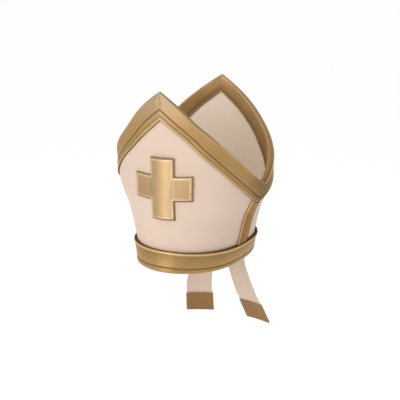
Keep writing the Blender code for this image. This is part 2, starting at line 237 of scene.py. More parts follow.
class SmoothTable:
    """A table read between its rows, along a curve that never overshoots them."""

    def __init__(self, rows: Sequence[tuple]) -> None:
        """Work out the slopes of every column.

        Args:
            rows: named tuples whose first value is the place of the row.
        """
        self.places = [row[0] for row in rows]
        self.values = {
            name: [getattr(row, name) for row in rows] for name in rows[0]._fields[1:]
        }
        self.slopes = {name: self.knot_slopes(column) for name, column in self.values.items()}

    def knot_slopes(self, values: Sequence[float]) -> list[float]:
        """Slopes of one column at its rows.

        Args:
            values: the column's values.

        Returns:
            A slope for each row, flat where the column turns back.
        """
        gaps = [b - a for a, b in zip(self.places, self.places[1:])]
        slopes = [(b - a) / gap for a, b, gap in zip(values, values[1:], gaps)]
        inner = []
        for gap, next_gap, slope, next_slope in zip(gaps, gaps[1:], slopes, slopes[1:]):
            weight, next_weight = 2 * next_gap + gap, next_gap + 2 * gap
            turns_back = slope * next_slope <= 0
            mean = 0.0 if turns_back else weight / slope + next_weight / next_slope
            inner.append(0.0 if turns_back else (weight + next_weight) / mean)
        first = self.end_slope(gaps[:2], slopes[:2])
        last = self.end_slope(gaps[:-3:-1], slopes[:-3:-1])
        return [first, *inner, last]

    @staticmethod
    def end_slope(gaps: Sequence[float], slopes: Sequence[float]) -> float:
        """The slope at an end of the table.

        Args:
            gaps: the two gaps nearest to that end.
            slopes: the straight slopes over them.

        Returns:
            A slope that keeps the curve from turning back or overshooting.
        """
        slope = (2 * gaps[0] + gaps[1]) * slopes[0] - gaps[0] * slopes[1]
        slope /= gaps[0] + gaps[1]
        if slope * slopes[0] <= 0:
            return 0.0
        return 3 * slopes[0] if abs(slope) > 3 * abs(slopes[0]) else slope

    def read(self, name: str, place: float) -> float:
        """Read a column.

        Args:
            name: the column's name.
            place: where to read it, held to the table's ends.

        Returns:
            The value there.
        """
        places = self.places
        place = min(max(place, places[0]), places[-1])
        index = min(bisect_right(places, place) - 1, len(places) - 2)
        gap = places[index + 1] - places[index]
        t = (place - places[index]) / gap
        values, slopes = self.values[name], self.slopes[name]
        return (
            (1 + 2 * t) * (1 - t) ** 2 * values[index]
            + t * (1 - t) ** 2 * gap * slopes[index]
            + t * t * (3 - 2 * t) * values[index + 1]
            + t * t * (t - 1) * gap * slopes[index + 1]
        )


@dataclass
class Wall:
    """The stiff wall that every piece of the hat follows."""

    seam_turn: float = 89.985
    measuring_height: float = 0.1340
    measuring_steps: int = 1440
    # how painted shade grows round to the wearer's right
    right_shade_rate: float = 1.6
    right_shade_start: float = 0.2
    plan: SmoothTable = field(default_factory=lambda: SmoothTable(WALL_ROWS))
    edge: SmoothTable = field(default_factory=lambda: SmoothTable(EDGE_ROWS))

    def __post_init__(self) -> None:
        """Measure the way round the hat from the middle of the front."""
        self.turns = np.array(spread(0.0, 360.0, self.measuring_steps))
        points = [self.face_point(turn, self.measuring_height) for turn in self.turns]
        steps = [(after - before).length for before, after in zip(points, points[1:])]
        self.lengths = np.cumsum([0.0] + steps)

    def plan_at(self, height: float, front: bool) -> list[float]:
        """Half the plan's width, its depth in front or behind, and its corner's power."""
        columns = ("half_width", "front_depth" if front else "back_depth", "corner")
        return [self.plan.read(column, height) for column in columns]

    def face_point(self, turn: float, height: float) -> Vector:
        """The point of the panels' outer face at a turn and a height.

        Args:
            turn: angle round the hat.
            height: height above the headband's lower edge.

        Returns:
            The point.
        """
        angle = math.radians(turn)
        forward = math.cos(angle)
        half_width, depth, corner = self.plan_at(height, forward > 0)
        y = -math.copysign(depth * abs(forward) ** (2 * corner), forward)
        return Vector((half_width * math.sin(angle), y, height))

    def outside(self, x: float, y: float, height: float) -> float:
        """How far outside the wall a point is: 1 on its outer face."""
        half_width, depth, corner = self.plan_at(height, y < 0)
        return (x / half_width) ** 2 + (abs(y) / depth) ** (1 / corner)

    def normal(self, point: Vector) -> Vector:
        """The outward normal at a point of the outer face.

        Args:
            point: the point.

        Returns:
            A unit vector.
        """
        x, y, z = point
        step = NORMAL_STEP
        slope_x = self.outside(x + step, y, z) - self.outside(x - step, y, z)
        slope_y = self.outside(x, y + step, z) - self.outside(x, y - step, z)
        slope_z = self.outside(x, y, z + step) - self.outside(x, y, z - step)
        return Vector((slope_x, slope_y, slope_z)).normalized()

    def point(self, turn: float, height: float, lift: float = 0.0) -> Vector:
        """A point on or off the wall.

        Args:
            turn: angle round the hat.
            height: height above the headband's lower edge.
            lift: distance outwards from the panels' outer face.

        Returns:
            The point.
        """
        point = self.face_point(turn, height)
        return point + self.normal(point) * lift

    def turn_at(self, x: float, height: float) -> float:
        """The turn at which the front of the wall has this x."""
        return math.degrees(math.asin(x / self.plan.read("half_width", height)))

    def from_middle(self, turn: float) -> float:
        """How far a turn is from the middle of its own panel, 0 to 90 degrees."""
        turn = abs((turn + 180.0) % 360.0 - 180.0)
        return min(turn, 180.0 - turn)

    def to_seam(self, turn: float) -> float:
        """How far a turn is from the nearer side seam, near which light and shade are painted."""
        return 90.0 - self.from_middle(turn)

    def shaded_right(self, turn: float) -> float:
        """1 well round to the wearer's right, where shade is painted, and 0 elsewhere."""
        return eased(-self.right_shade_rate * math.sin(math.radians(turn)) - self.right_shade_start)

    def crest(self, turn: float) -> float:
        """Height of a border's crest."""
        column = "front_crest" if math.cos(math.radians(turn)) > 0 else "back_crest"
        return self.edge.read(column, self.from_middle(turn))

    def foot(self, turn: float) -> float:
        """Height of a border's lower edge."""
        return self.edge.read("foot", self.from_middle(turn))

    def along(self, turn: float) -> float:
        """Distance round the wall from the middle of the front, negative towards -X."""
        return math.copysign(np.interp(abs(turn), self.turns, self.lengths), turn)

    def turn_after(self, length: float) -> float:
        """The turn at a distance round the wall from the middle of the front."""
        return math.copysign(np.interp(abs(length), self.lengths, self.turns), length)

    def even_turns(self, start: float, end: float, count: int) -> list[float]:
        """Turns from start to end that are evenly far apart on the wall."""
        inner = spread(self.along(start), self.along(end), count)[1:-1]
        return [start] + [self.turn_after(length) for length in inner] + [end]

    def panel_turns(self, face: Face, count: int) -> list[float]:
        """Even turns over one panel, from seam to seam through its middle."""
        half = self.even_turns(0.0, self.seam_turn, count // 2)
        return [face.value + turn for turn in [-turn for turn in half[:0:-1]] + half]


def operation(name: str, swapped: bool = False) -> Callable[["Value", object], "Value"]:
    """Make a method of Value that adds a Math node.

    Args:
        name: the node's operation.
        swapped: whether the other value comes first.

    Returns:
        The method.
    """

    def method(value: "Value", other: object) -> "Value":
        """A Math node on the value and another."""
        first, second = (other, value) if swapped else (value, other)
        return value.graph.node("Math", {"operation": name}, {0: first, 1: second})

    return method


class Value:
    """A shader socket that can be used in sums."""

    __add__ = __radd__ = operation("ADD")
    __sub__ = operation("SUBTRACT")
    __rsub__ = operation("SUBTRACT", swapped=True)
    __mul__ = __rmul__ = operation("MULTIPLY")
    at_least = operation("MAXIMUM")

    def __init__(self, graph: "Graph", socket: bpy.types.NodeSocket) -> None:
        """Hold a socket and the graph that it belongs to."""
        self.graph = graph
        self.socket = socket

    def axis(self, name: str) -> "Value":
        """One number of a vector, by the name of its axis."""
        return self.graph.node("SeparateXYZ", None, {0: self}, name)


class Graph:
    """A material's node tree, built by sums on its sockets."""

    def __init__(self, name: str) -> None:
        """Start a material that holds only its Principled shader and its output.

        Args:
            name: its name.
        """
        self.material = bpy.data.materials.new(name)
        self.material.use_nodes = True
        self.tree = self.material.node_tree
        self.shader = self.tree.nodes["Principled BSDF"]

    def node(
        self, kind: str, settings: dict | None = None, sockets: dict | None = None,
        output: int | str = 0,
    ) -> Value:
        """Add a node.

        Args:
            kind: the node's type without its ShaderNode prefix.
            settings: its own properties, set before its sockets.
            sockets: values or links for its inputs, by name or place.
            output: which output is wanted.

        Returns:
            That output.
        """
        made = self.tree.nodes.new("ShaderNode" + kind)
        for name, setting in (settings or {}).items():
            setattr(made, name, setting)
        self.feed(made, sockets or {})
        return Value(self, made.outputs[output])

    def feed(self, node: bpy.types.Node, sockets: dict) -> None:
        """Link values to a node's inputs, or write constants there.

        Args:
            node: the node.
            sockets: what to feed to each input, by name or place. A colour has no alpha.
        """
        for name, value in sockets.items():
            socket = node.inputs[name]
            if isinstance(value, Value):
                self.tree.links.new(value.socket, socket)
            else:
                socket.default_value = (*value, 1.0) if socket.type == "RGBA" else value

    def cloth(self) -> tuple[Value, Value, Value, Value]:
        """Its place on the flat cloth, its place in space, its painted light and its painted shade.

        Returns:
            The values, of which the painted light and the painted shade are 0 to 1.
        """
        flat = self.node("UVMap", {"uv_map": CLOTH_MAP})
        place = self.node("TexCoord", output="Object")
        tone = self.node("Attribute", {"attribute_name": TONE_LAYER}, output="Fac")
        return flat, place, tone.at_least(0.0), (0.0 - tone).at_least(0.0)

    def mix(self, factor: object, first: object, second: object) -> Value:
        """Blend two colours by a factor."""
        settings = {"data_type": "RGBA", "clamp_factor": True}
        return self.node("Mix", settings, {0: factor, 6: first, 7: second}, 2)

    def noise(self, place: Value, scale: float, detail: float) -> Value:
        """Smooth noise from 0 to 1 at a place."""
        return self.node("TexNoise", None, {"Vector": place, "Scale": scale, "Detail": detail})

    def streaks(self, cloth: Value, stretch: Sequence[float], detail: float) -> Value:
        """Noise on the cloth, with its two directions scaled apart."""
        scaled = self.node("VectorMath", {"operation": "MULTIPLY"}, {0: cloth, 1: (*stretch, 1.0)})
        return self.noise(scaled, 1.0, detail)

    def wave(self, distance: Value, pitch: float) -> Value:
        """A ridge from 0 to 1 that comes back at every pitch of a distance."""
        turns = distance * (2 * math.pi / pitch)
        return self.node("Math", {"operation": "SINE"}, {0: turns}) * 0.5 + 0.5

    def finish(self, looks: dict, height: Value, depth: float, strength: float) -> None:
        """Feed the Principled shader.

        Args:
            looks: what to feed to its inputs, by name.
            height: from 0 to about 1, how far the surface is raised.
            depth: the height of 1, in metres.
            strength: how strongly it is raised.
        """
        bump = {"Height": height, "Distance": depth, "Strength": strength}
        self.feed(self.shader, looks | {"Normal": self.node("Bump", None, bump)})


@dataclass(frozen=True)
class Silk:
    """Cream ribbed silk over a stiff interlining."""

    name: str = "cream_silk"
    warm: Colour = (0.690, 0.530, 0.415)
    cool: Colour = (0.650, 0.505, 0.400)
    # painted light: a paler colour that brightens the inside of the panels
    painted_light: Colour = (0.860, 0.720, 0.585)
    # painted shade: the colour of shaded edges, seams and hems
    painted_shade: Colour = (0.430, 0.310, 0.215)
    mottle_scale: float = 26.0
    mottle_detail: float = 3.0
    mottle_gain: float = 1.6
    mottle_floor: float = 0.3
    slub_stretch: Pair = (45.0, 900.0)
    slub_detail: float = 2.0
    slub_share: float = 0.5
    slub_relief: float = 0.8
    rib_pitch: float = 0.0012
    warp_pitch: float = 0.0009
    rib_depth: float = 0.00012
    rib_share: float = 0.7
    shade_share: float = 0.8
    weave_shade: float = 0.05
    roughness: float = 0.62
    uneven: float = 0.12
    sheen: float = 0.12
    raised: float = 0.45

    def material(self) -> bpy.types.Material:
        """Ribs across, slubs along them, a slow mottling, painted light where the tone is above 0
        and painted shade where it is below.

        Returns:
            The material.
        """
        graph = Graph(self.name)
        cloth, place, painted_light, shade_mask = graph.cloth()
        slub = graph.streaks(cloth, self.slub_stretch, self.slub_detail)
        ribs = graph.wave(cloth.axis("Y"), self.rib_pitch) * self.rib_share
        weave = ribs + graph.wave(cloth.axis("X"), self.warp_pitch) * (1 - self.rib_share)
        mottle = graph.noise(place, self.mottle_scale, self.mottle_detail)
        varied = mottle * self.mottle_gain - self.mottle_floor + (slub - 0.5) * self.slub_share
        # painted light on the inside of the panels
        colour = graph.mix(painted_light, graph.mix(varied, self.warm, self.cool), self.painted_light)
        # painted shade, and a little darkening in the weave's hollows
        painted_shade = shade_mask * self.shade_share + (1 - weave) * self.weave_shade
        colour = graph.mix(painted_shade, colour, self.painted_shade)
        rough = (slub - 0.5) * self.uneven + self.roughness
        looks = {"Base Color": colour, "Roughness": rough, "Sheen Weight": self.sheen}
        graph.finish(looks, weave + slub * self.slub_relief, self.rib_depth, self.raised)
        return graph.material


@dataclass(frozen=True)
class ClothOfGold:
    """Satin cloth woven with gold thread, with painted shade in grooves and painted highlights on
    edges.
    """

    name: str
    body: Colour
    # bright: the colour of painted highlights and of lighter streaks
    bright: Colour
    # deep: the colour of painted shade and of darker streaks
    deep: Colour
    metallic: float
    specular: float
    roughness: float = 0.36
    uneven: float = 0.16
    glint: Colour = (1.000, 0.860, 0.640)
    # a painted sheen, paler, high up on the front border
    painted_sheen: Colour = (0.405, 0.278, 0.155)
    painted_sheen_above: float = 1.0
    painted_sheen_rate: float = 27.0
    noise_detail: float = 3.0
    mottle_scale: float = 34.0
    mottle_share: float = 0.4
    streak_stretch: Pair = (16.0, 420.0)
    streak_share: float = 0.3
    streak_relief: float = 0.5
    twill_pitch: float = 0.0014
    thread_pitch: float = 0.0008
    twill_depth: float = 0.00012
    twill_share: float = 0.6
    weave_share: float = 0.15
    # how strong the painted highlight is, and how rough and how strong the painted shade is
    highlight_share: float = 0.8
    shade_roughness: float = 0.25
    shade_share: float = 0.9
    dark_share: float = 0.6
    matt_roughness: float = 0.9
    raised: float = 0.4

    def material(self) -> bpy.types.Material:
        """A fine twill with lengthwise streaks, a dark, matt painted shade, painted highlights and
        a painted sheen high up.

        Returns:
            The material.
        """
        graph = Graph(self.name)
        cloth, place, painted_tone, shade_mask = graph.cloth()
        mottle = graph.noise(place, self.mottle_scale, self.noise_detail)
        streaks = graph.streaks(cloth, self.streak_stretch, self.noise_detail)
        across = cloth.axis("Y")
        twill = graph.wave(cloth.axis("X") + across, self.twill_pitch) * self.twill_share
        weave = twill + graph.wave(across, self.thread_pitch) * (1 - self.twill_share)
        varied = (mottle - 0.5) * self.mottle_share + (streaks - 0.5) * self.streak_share
        varied += (weave - 0.5) * self.weave_share
        # painted highlights and lighter streaks go towards bright
        brightened = painted_tone * self.highlight_share + varied.at_least(0.0)
        colour = graph.mix(brightened, self.body, self.bright)
        # a painted sheen high up
        painted_sheen = (place.axis("Z") - self.painted_sheen_above) * self.painted_sheen_rate
        colour = graph.mix(painted_sheen, colour, self.painted_sheen)
        # painted shade, and darker streaks, go towards deep
        shade_amount = shade_mask * self.shade_share
        shadowed = shade_amount + (0.0 - varied).at_least(0.0) * self.dark_share
        looks = {
            "Base Color": graph.mix(shadowed, colour, self.deep),
            "Roughness": (streaks - 0.5) * self.uneven + self.roughness
            + shade_mask * self.shade_roughness,
            "Metallic": (1 - shade_mask) * self.metallic,
            "Specular IOR Level": self.specular,
            "Specular Tint": self.glint,
        }
        graph.finish(looks, weave + streaks * self.streak_relief, self.twill_depth, self.raised)
        # painted shade also as a dark matt surface
        matt_looks = {"Roughness": self.matt_roughness, "Specular IOR Level": 0.0}
        matt = graph.node("BsdfPrincipled", None, {"Base Color": self.deep} | matt_looks)
        satin = Value(graph, graph.shader.outputs[0])
        blend = graph.node("MixShader", None, {0: shade_amount, 1: satin, 2: matt})
        graph.feed(graph.tree.nodes["Material Output"], {"Surface": blend})
        return graph.material


@dataclass(frozen=True)
class Thread:
    """Sewing thread, with the twist of its strands."""

    name: str
    colour: Colour
    shade: Colour
    metallic: float = 0.0
    roughness: float = 0.5
    uneven: float = 0.2
    strand: float = 0.0006
    strand_depth: float = 0.00006
    strand_share: float = 0.6
    fuzz_scale: float = 900.0
    fuzz_detail: float = 2.0
    fuzz_share: float = 0.4
    raised: float = 0.5

    def material(self) -> bpy.types.Material:
        """Slanting strands, lighter on their crowns.

        Returns:
            The material.
        """
        graph = Graph(self.name)
        place = graph.node("TexCoord", output="Object")
        strands = graph.wave(place.axis("X") + place.axis("Z"), self.strand)
        fuzz = graph.noise(place, self.fuzz_scale, self.fuzz_detail)
        lit = strands * self.strand_share + fuzz * self.fuzz_share
        looks = {
            "Base Color": graph.mix(lit, self.shade, self.colour),
            "Roughness": fuzz * self.uneven + self.roughness,
            "Metallic": self.metallic,
        }
        graph.finish(looks, strands, self.strand_depth, self.raised)
        return graph.material


BORDER_GOLD = ClothOfGold(
    "border_gold", metallic=0.50, specular=0.4,
    body=(0.390, 0.235, 0.084), bright=(0.740, 0.520, 0.290), deep=(0.150, 0.080, 0.030),
)
# The front border gets a painted sheen at its tip.
FRONT_BORDER_GOLD = replace(BORDER_GOLD, name="front_border_gold", painted_sheen_above=0.225)
# A darker copy of the gold, with painted shade, for the side strips.
SHADED_STRIP_GOLD = ClothOfGold(
    "strip_gold", metallic=0.10, specular=0.1,
    body=(0.275, 0.122, 0.024), bright=(0.800, 0.540, 0.280), deep=(0.090, 0.050, 0.020),
)
BAND_GOLD = ClothOfGold(
    "headband_gold", metallic=0.35, specular=0.15,
    body=(0.375, 0.225, 0.090), bright=(0.740, 0.490, 0.210), deep=(0.120, 0.065, 0.024),
)
CROSS_GOLD = ClothOfGold(
    "cross_gold", metallic=0.45, specular=0.8,
    body=(0.460, 0.295, 0.140), bright=(0.820, 0.640, 0.420), deep=(0.150, 0.080, 0.030),
)
END_GOLD = ClothOfGold(
    "lappet_end_gold", metallic=0.25, specular=0.3,
    body=(0.245, 0.130, 0.042), bright=(0.450, 0.270, 0.120), deep=(0.090, 0.050, 0.020),
)
GOLD_THREAD = Thread("gold_thread", (0.600, 0.400, 0.190), (0.330, 0.200, 0.080), 0.4)
CREAM_THREAD = Thread("cream_thread", (0.740, 0.620, 0.510), (0.520, 0.410, 0.320))
CREAM_SILK = Silk()
# A yellower silk for the lappets, darkened with painted shade.
YELLOWER_SHADED_LAPPET_SILK = Silk("lappet_silk", (0.610, 0.470, 0.350), (0.570, 0.445, 0.340))


def added(name: str, data: bpy.types.ID) -> bpy.types.Object:
    """A new object in the scene that holds the data.

    Args:
        name: its name.
        data: what it holds.

    Returns:
        The object.
    """
    made = bpy.data.objects.new(name, data)
    bpy.context.scene.collection.objects.link(made)
    return made


def placed(
    name: str, shape: BMesh, finish: Silk | ClothOfGold | Thread, node: str,
    stands_in: bool = True,
) -> bpy.types.Object:
    """Write a bmesh to a new object that rides on the hat's body.

    Args:
        name: the piece's name.
        shape: its mesh, in place, which is freed.
        finish: what it is made of.
        node: the frame's node that it belongs to.
        stands_in: whether it replaces that node.

    Returns:
        The new object.
    """
    mesh = bpy.data.meshes.new(name)
    shape.to_mesh(mesh)
    shape.free()
    mesh.materials.append(bpy.data.materials.get(finish.name) or finish.material())
    mesh.shade_smooth()
    mesh.set_sharp_from_angle(angle=math.radians(SHARP_ANGLE))
    piece = added(name, mesh)
    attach(piece, BODY)
    surface = sum(face.area for face in mesh.polygons)
    log.info("%s: %d faces, %.5f m2 of surface", name, len(mesh.polygons), surface)
    if stands_in:
        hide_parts(node)
    return piece


def skinned(rows: Sequence[Sequence[Spot]]) -> BMesh:
    """Skin rows of spots with a grid, weld its seams and close its ends.

    Args:
        rows: outlines across a piece, one after another along it. An outline that
            ends on its first place is welded there, and so is a row of outlines.

    Returns:
        A closed mesh with its flat cloth's map and its tones.
    """
    cloth = bmesh.new()
    steps_across, steps_along = len(rows[0]) - 1, len(rows) - 1
    bmesh.ops.create_grid(cloth, x_segments=steps_across, y_segments=steps_along, size=0.5)
    tones = cloth.verts.layers.float.new(TONE_LAYER)
    flat = cloth.loops.layers.uv.new(CLOTH_MAP)
    spots = {}
    for vertex in cloth.verts:
        row = round((vertex.co.y + 0.5) * steps_along)
        spots[vertex] = rows[row][round((vertex.co.x + 0.5) * steps_across)]
    for face in cloth.faces:
        for loop in face.loops:
            loop[flat].uv = spots[loop.vert][1:3]
    for vertex, spot in spots.items():
        vertex.co = spot.place
        vertex[tones] = spot.tone
    bmesh.ops.remove_doubles(cloth, verts=cloth.verts, dist=WELD)
    ends = [edge for edge in cloth.edges if edge.is_boundary]
    if ends:
        caps = bmesh.ops.holes_fill(cloth, edges=ends, sides=0)["faces"]
        for loop in [loop for face in caps for loop in face.loops]:
            neighbour = next(other for other in loop.vert.link_loops if other.face not in caps)
            loop[flat].uv = neighbour[flat].uv
        bmesh.ops.triangulate(cloth, faces=caps)
    bmesh.ops.recalc_face_normals(cloth, faces=cloth.faces)
    return cloth


@dataclass
class StitchRow:
    """Rows of small running stitches laid on a piece of cloth."""

    node: str
    thread: Thread
    length: float = 0.0026
    gap: float = 0.0013
    width: float = 0.00050
    proud: float = 0.00036
    segments: int = 6

    def build(self, lines: Iterable[Line]) -> bpy.types.Object:
        """Sew the stitches.

        Args:
            lines: runs of points on the cloth, each with its outward normal.

        Returns:
            The stitches as one piece.
        """
        sewn = bmesh.new()
        size = Matrix.Diagonal((self.length, self.width, self.proud, 1.0))
        for place, normal, forward in [stop for line in lines for stop in self.walked(line)]:
            side = normal.cross(forward).normalized()
            basis = Matrix((forward, side, forward.cross(side))).transposed().to_4x4()
            bmesh.ops.create_uvsphere(
                sewn, u_segments=self.segments, v_segments=self.segments // 2 + 1,
                radius=0.5, matrix=Matrix.Translation(place) @ basis @ size,
            )
        bmesh.ops.recalc_face_normals(sewn, faces=sewn.faces)
        return placed(self.node + "_stitches", sewn, self.thread, self.node, stands_in=False)

    def walked(self, line: Line) -> list[tuple[Vector, Vector, Vector]]:
        """Middles of the stitches along a line, with their normals and directions.

        Args:
            line: points with their outward normals.

        Returns:
            A place, a normal and a direction for each.
        """
        stops = []
        travelled, due = 0.0, self.length
        for (start, normal), (end, _) in zip(line, line[1:]):
            step = end - start
            while due <= travelled + step.length:
                place = start + step * ((due - travelled) / step.length)
                stops.append((place, normal, step.normalized()))
                due += self.length + self.gap
            travelled += step.length
        return stops


@dataclass
class Panel:
    """One stiff cream panel, half of the hat's wall."""

    wall: Wall
    face: Face
    finish: Silk
    drop: float = 0.0038
    start: float = 0.0010
    columns: int = 160
    rows: int = 56
    ripple: float = 0.0004
    ripple_fade: float = 0.020
    ripple_scale: Pair = (16.0, 11.0)
    # painted light on the inside of the panel
    painted_light: float = 1.0
    edge_shade: float = 0.22
    edge_reach: float = 0.0016
    # painted shade near the side seams
    seam_shade: Shade = Shade(0.20, 15.0)
    # painted shade round to the wearer's right
    right_shade: float = 0.20
    flat: Pair = (0.3592, 0.2783)
    area: float = 0.0690

    def swell(self, turn: float, height: float) -> float:
        """How far the silk stands off the straight wall, nothing near its edges.

        Args:
            turn: angle round the hat.
            height: height above the headband's lower edge.

        Returns:
            The distance in metres.
        """
        wall = self.wall
        to_seam = wall.along(wall.seam_turn) - wall.along(wall.from_middle(turn))
        clear = min(wall.foot(turn) - height, height - BAND_HEIGHT, to_seam)
        round_scale, up_scale = self.ripple_scale
        place = Vector((wall.along(turn) * round_scale, height * up_scale, self.face.value))
        return self.ripple * noise.noise(place) * eased(clear / self.ripple_fade)

    def tone(self, turn: float, height: float, lift: float) -> float:
        """Painted light inside, with painted shade where the silk meets gold, near the side seams
        and round to the wearer's right.

        Args:
            turn: angle round the hat.
            height: height above the headband's lower edge.
            lift: 0 outside, and less inside.

        Returns:
            The tone.
        """
        wall = self.wall
        nearest = min(abs(wall.foot(turn) - height), abs(height - BAND_HEIGHT))
        # inside, painted light; outside, painted shade round to the wearer's right
        painted_light = self.painted_light if lift < 0 else -self.right_shade * wall.shaded_right(turn)
        edge = self.edge_shade * math.exp(-nearest / self.edge_reach)
        return painted_light - edge - self.seam_shade.at(wall.to_seam(turn))

    def row(self, turn: float) -> list[Spot]:
        """The outline of the panel at a turn, its outer face up and its inner face down.

        Args:
            turn: angle round the hat.

        Returns:
            Its spots.
        """
        heights = spread(self.start, self.wall.crest(turn) - self.drop, self.rows)
        around = [(height, 0.0) for height in heights]
        around += [(height, -PANEL_THICKNESS) for height in reversed(heights)]
        along = self.wall.along(turn)
        row = []
        for height, lift in around + around[:1]:
            place = self.wall.point(turn, height, lift + self.swell(turn, height))
            row.append(Spot(place, along, height, self.tone(turn, height, lift)))
        return row

    def build(self) -> None:
        """Cut the panel and lay it along the wall, down behind the headband."""
        rows = [self.row(turn) for turn in self.wall.panel_turns(self.face, self.columns)]
        node = self.face.name.lower() + "_panel"
        piece = placed(node + "_silk", skinned(rows), self.finish, node)


@dataclass
class Border:
    """A gold border folded over a panel's pointed edge, with a groove and a bead."""

    wall: Wall
    face: Face
    finish: ClothOfGold
    columns: int = 180
    mitre_depth: float = 0.0004
    mitre_turn: float = 1.6
    mitre_span: Pair = (0.05, 0.63)
    mitre_shade: float = 300.0
    pinch: float = 1.8
    pinch_turn: float = 20.0
    pinch_share: float = 0.25
    groove_place: float = 0.666
    leg_thickness: float = 2.4
    # painted shade near the side seams
    seam_shade: Shade = Shade(0.50, 13.0)
    # painted shade round to the wearer's right
    right_shade: float = 0.14
    # how far painted light and shade reach from the seams, and a painted highlight on the back
    # border's outer corner
    painted_tone: Shade = Shade(1.0, 28.0)
    corner_highlight: float = 0.9
    corner_lift: float = 1.5
    corner_share: float = 0.04
    # painted shade inside: round to the wearer's right, near the seams and towards the foot
    inside_right_shade: float = 0.27
    inside_right_rate: float = 3.0
    inside_seam_shade: float = 0.20
    foot_shade: float = 0.45
    foot_rate: float = 2.5
    shaded_tip: Shade = Shade(0.12, 20.0)
    outer_stitches: Pair = (0.859, 2.35)
    inner_stitches: Pair = (0.860, -5.66)
    flat: Pair = (0.0860, 0.4690)
    area: float = 0.0316
    # Tones: painted highlights on the crest, the ridges and the bead, painted shade in the grooves
    # and at the foot.
    outside: tuple[Relief, ...] = reliefs(
        (0, 0.9, 0), (0, 1.9, 0.5), (0.01, 2.4, 0.7), (0.033, 2.72, 0.6), (0.055, 2.7, 0.15),
        (0.12, 2.45, 0), (0.23, 2.2, 0), (0.35, 2.1, 0), (0.48, 2.2, 0), (0.56, 2.45, 0.05),
        (0.604, 2.65, 0.1), (0.62, 2.45, -0.1), (0.641, 1.8, -0.35), (0.666, 1.5, -0.5),
        (0.691, 1.8, -0.35), (0.71, 2.35, -0.1), (0.722, 2.55, 0.1), (0.77, 2.6, 0),
        (0.826, 2.45, -0.1), (0.85, 2.15, -0.35), (0.866, 2.2, -0.3), (0.884, 2.7, 0.15),
        (0.912, 3, 0.5), (0.945, 2.95, 0.45), (0.972, 2.55, 0), (0.992, 1.8, -0.7), (1, 1, -1),
        (1, 0.3, -1),
    )
    # Tones: painted highlights at the crest and on the bead, painted shade growing towards the foot
    # and in the groove.
    inside: tuple[Relief, ...] = reliefs(
        (0, -4.9, 0.4), (0.013, -5.35, 0.5), (0.044, -5.7, 0.3), (0.08, -5.7, 0.1),
        (0.24, -5.55, 0), (0.43, -5.45, -0.02), (0.63, -5.5, -0.18), (0.8, -5.65, -0.4),
        (0.873, -5.65, -0.45), (0.892, -5.2, -0.8), (0.912, -5.65, 0.3), (0.945, -5.75, 0.4),
        (0.968, -5.55, -0.5), (0.99, -5.1, -0.9), (1, -4.2, -1), (1, -3.3, -1),
    )
    # Tones: painted shade on the cut edge inside the fold.
    groove: tuple[Relief, ...] = reliefs(
        (0.4, -3.3, -1), (0.083, -3.3, -1), (0.083, -1.5, -1), (0.083, 0.3, -1), (0.5, 0.3, -1),
    )

    def height_at(self, turn: float, relief: Relief) -> float:
        """The height of a point of the profile, whose share is 0 at the crest.

        Args:
            turn: angle round the hat.
            relief: the point. Inside the hat its share is that of the shorter leg, and
                outside it is moved so that the groove lies where it should.

        Returns:
            The height above the headband's lower edge.
        """
        away = self.wall.from_middle(turn)
        share = relief.share
        if relief.lift < -PANEL_THICKNESS / MM:
            share *= self.wall.edge.read("inside_share", away)
        elif share <= self.groove_place:
            share *= self.wall.edge.read("groove_share", away) / self.groove_place
        else:
            rest = 1 - self.wall.edge.read("groove_share", away)
            share = 1 - (1 - share) * rest / (1 - self.groove_place)
        crest = self.wall.crest(turn)
        return crest + (self.wall.foot(turn) - crest) * share

    def drawn_in(self, turn: float, relief: Relief) -> float:
        """How far, in mm, the outside and inside draw together at the point."""
        near_tip = 1 - eased(self.wall.from_middle(turn) / self.pinch_turn)
        return self.pinch * near_tip * (1 - eased(relief.share / self.pinch_share))

    def padded(self, turn: float, relief: Relief) -> float:
        """How far padding pushes a point of the back border's inside leg inwards.

        Args:
            turn: angle round the hat.
            relief: the point.

        Returns:
            The distance in mm, 0 on the front border.
        """
        if self.face is Face.FRONT:
            return 0.0
        away = self.wall.from_middle(turn)
        top, foot = self.wall.edge.read("pad_top", away), self.wall.edge.read("pad_foot", away)
        grown = (top + (foot - top) * relief.share) / self.leg_thickness - 1
        return grown * max(0.0, -relief.lift - PANEL_THICKNESS / MM - GAP / MM)

    def mitre(self, turn: float, relief: Relief) -> float:
        """How much the seam at the point pulls the outside in."""
        near = max(0.0, 1 - self.wall.from_middle(turn) / self.mitre_turn)
        return self.mitre_depth * near * (self.mitre_span[0] < relief.share < self.mitre_span[1])

    def outer_point(self, turn: float, relief: Relief) -> Pair:
        """The lift, in mm, and the tone of a point of the outside.

        Args:
            turn: angle round the hat.
            relief: the point of the profile.

        Returns:
            The lift and the tone.
        """
        pulled = self.mitre(turn, relief)
        to_seam = self.wall.to_seam(turn)
        # painted shade in the mitre seam's groove, near the side seams and round to the wearer's
        # right
        tone = relief.tone - (self.mitre_shade * pulled + self.seam_shade.at(to_seam))
        tone -= self.right_shade * self.wall.shaded_right(turn)
        # a painted highlight on the back border's outer corner near the seams
        at_corner = relief.share < self.corner_share and relief.lift > self.corner_lift
        if self.face is Face.BACK and at_corner:
            tone += self.corner_highlight * self.painted_tone.at(to_seam)
        return relief.lift - (self.drawn_in(turn, relief) + pulled / MM), tone

    def inner_point(self, turn: float, relief: Relief) -> Pair:
        """The lift, in mm, and the tone of a point of the inside leg.

        Args:
            turn: angle round the hat.
            relief: the point of the profile.

        Returns:
            The lift and the tone.
        """
